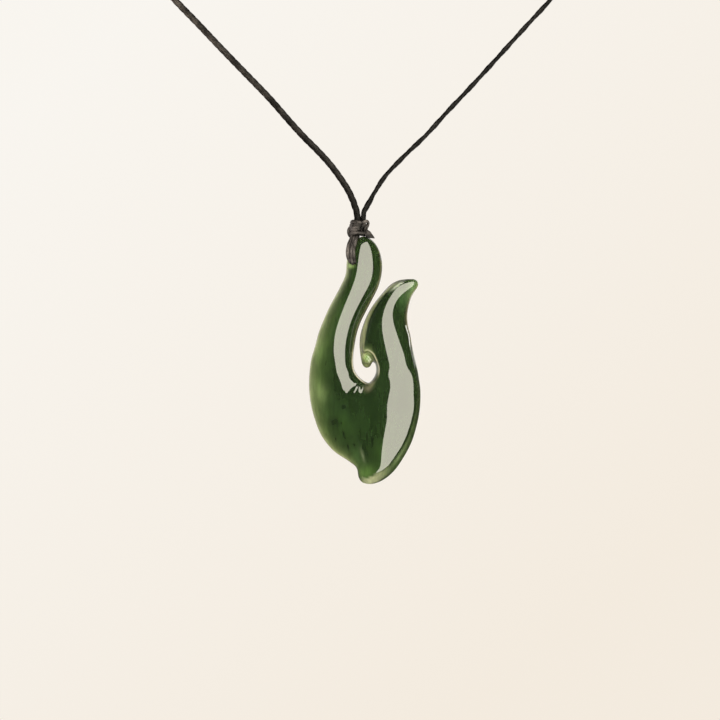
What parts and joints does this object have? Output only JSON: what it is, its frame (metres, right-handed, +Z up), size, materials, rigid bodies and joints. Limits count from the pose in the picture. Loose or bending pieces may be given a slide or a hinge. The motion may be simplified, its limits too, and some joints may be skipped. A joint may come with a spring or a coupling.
{
  "type": "hei matau pendant on a cord necklace",
  "caption": "Carved green stone fish-hook pendant with a curled barb, hung by a knotted loop of black waxed cord through a hole in its head, on a necklace cord with a plain clasp.",
  "frame": {"origin": "middle of the clasp at the top of the necklace's loop, where the necklace hangs at the back of the neck", "axes": "+X to the right as the front is seen, +Y to the back, +Z up; the stone hangs below the origin"},
  "size_m": [0.1304, 0.0078, 0.2283],
  "materials": {
    "greenstone": "polished",
    "cord": "waxed",
    "clasp": "satin"
  },
  "bodies": {
    "necklace": {"cord_left": "cord", "cord_right": "cord", "knot": "cord", "hanging_loop": "cord", "clasp": "clasp"},
    "pendant": {"stone": "greenstone"}
  },
  "joints": [
    {"name": "stone_swing", "type": "hinge", "parent": "necklace", "child": "pendant", "pos_m": [-0.0018, 0, -0.17377], "axis": [0, 1, 0], "range_deg": [-8, 12]}
  ]
}
